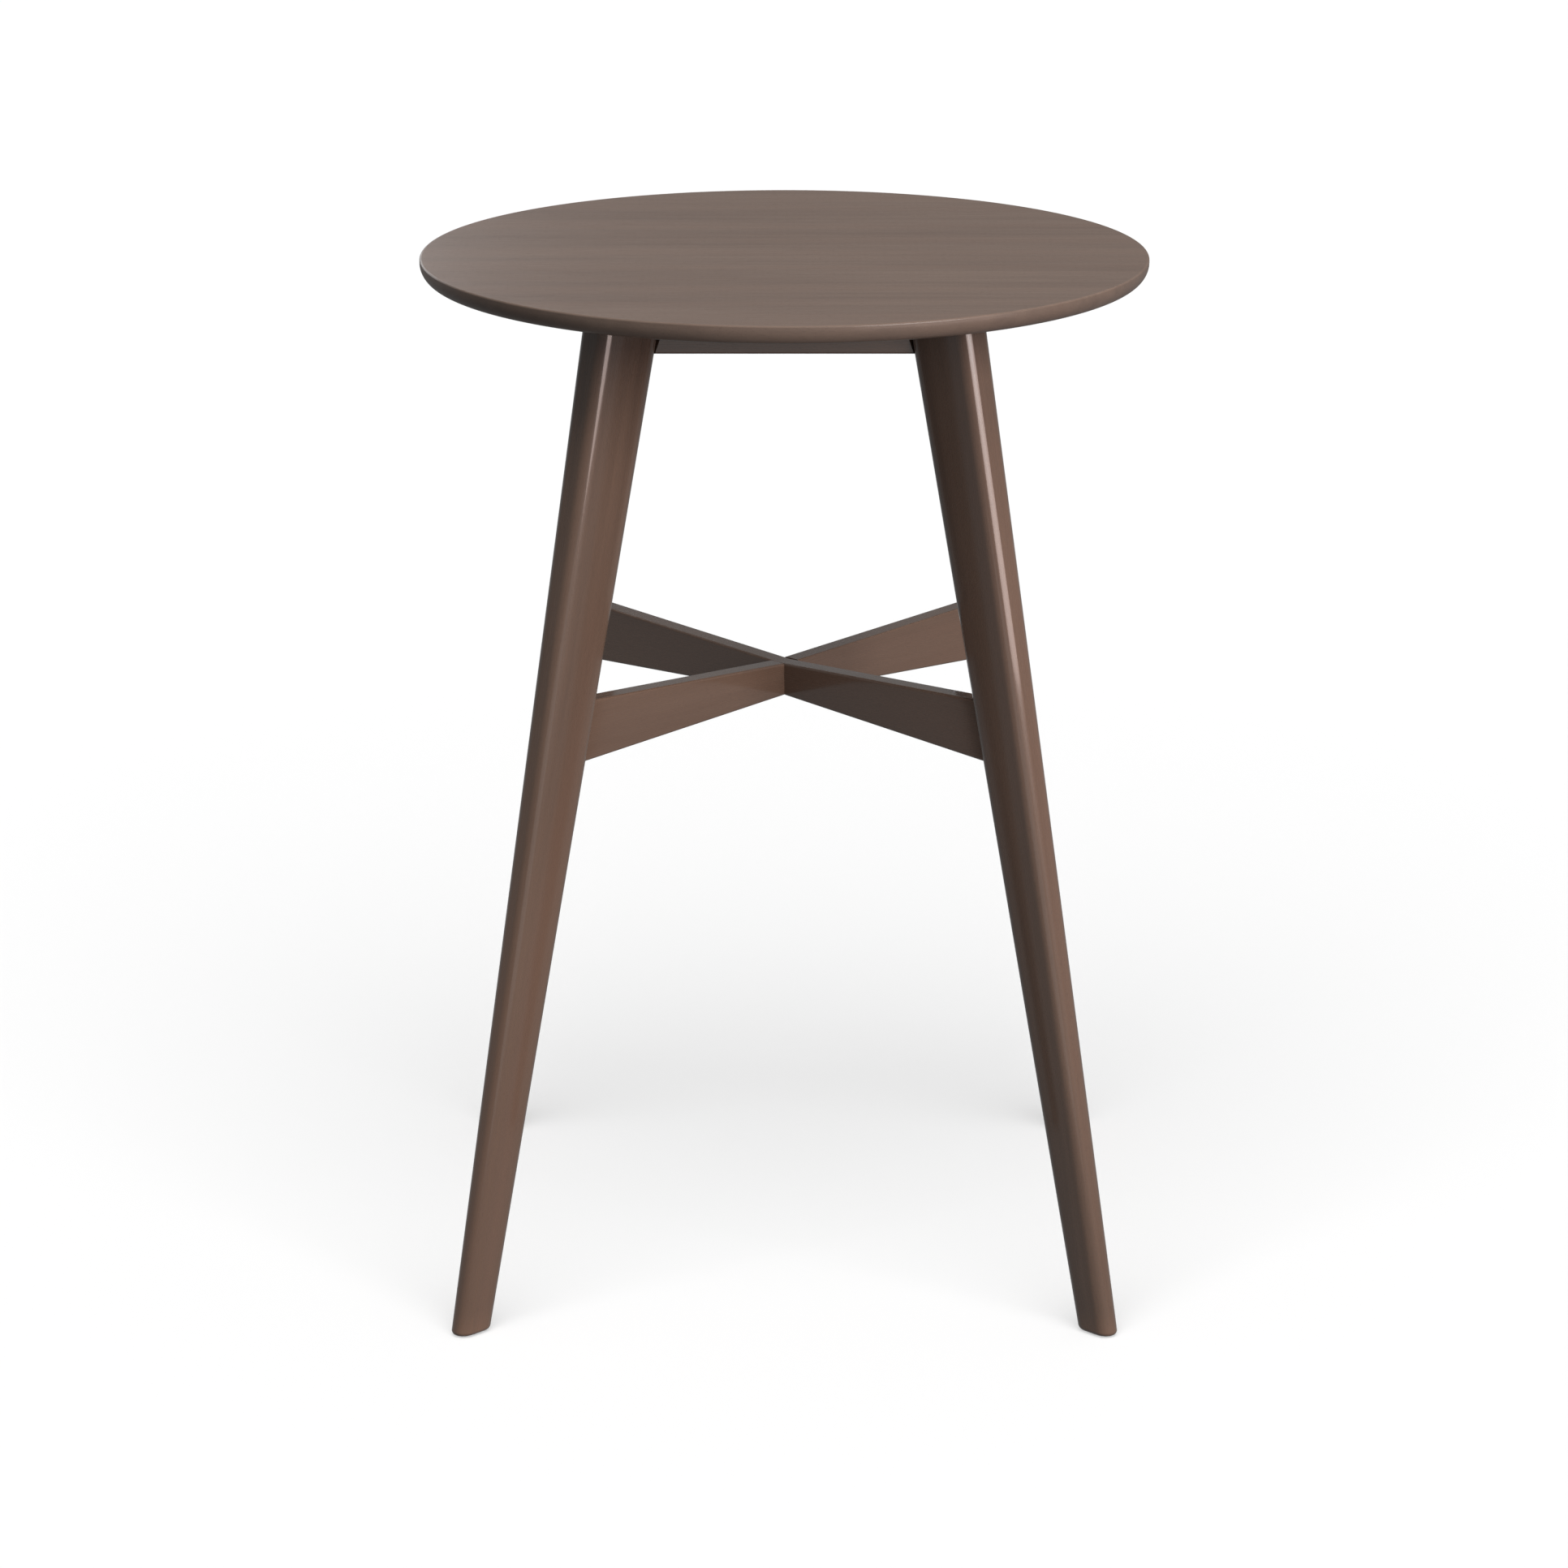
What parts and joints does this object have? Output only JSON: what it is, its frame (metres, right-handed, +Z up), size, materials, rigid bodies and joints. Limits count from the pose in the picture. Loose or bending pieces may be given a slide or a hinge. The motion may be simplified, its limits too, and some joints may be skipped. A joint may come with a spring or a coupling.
{
  "type": "bar table",
  "caption": "Round bar-height table with a thin undercut top on splayed tapered legs, a bevelled apron frame and a crossed bow-tie stretcher.",
  "frame": {"origin": "on the floor, straight under the middle of the round top", "axes": "+Z up through the middle of the top; the legs stand in the two upright planes at 45 degrees to X and Y; -Y is the side that the picture is taken from"},
  "size_m": [0.7499, 0.75, 1.06],
  "materials": {
    "walnut_top": "walnut-stained veneer under a satin lacquer, almost no open grain",
    "walnut_frame": "walnut-stained solid hardwood under a satin lacquer",
    "pale_hardwood": "bare, planed hardwood",
    "nylon": "moulded dark brown nylon",
    "zinc_steel": "bright zinc plate",
    "insert_brass": "yellow passivated die-cast insert"
  },
  "bodies": {
    "root": {"tabletop": "walnut_top", "apron_rail_front": "walnut_frame", "apron_rail_right": "walnut_frame", "apron_rail_back": "walnut_frame", "apron_rail_left": "walnut_frame", "leg_front_left": "walnut_frame", "leg_front_right": "walnut_frame", "leg_back_right": "walnut_frame", "leg_back_left": "walnut_frame", "stretcher_lower_board": "walnut_frame", "stretcher_upper_board": "walnut_frame", "corner_block_front_left": "pale_hardwood", "corner_block_front_right": "pale_hardwood", "corner_block_back_right": "pale_hardwood", "corner_block_back_left": "pale_hardwood", "block_dowels": "pale_hardwood", "foot_glide_front_left": "nylon", "foot_glide_front_right": "nylon", "foot_glide_back_right": "nylon", "foot_glide_back_left": "nylon", "leg_bolts": "zinc_steel", "spring_washers": "zinc_steel", "flat_washers": "zinc_steel", "leg_inserts": "insert_brass", "top_screws": "zinc_steel", "crossing_screw": "zinc_steel", "glide_nails": "zinc_steel"}
  },
  "joints": []
}
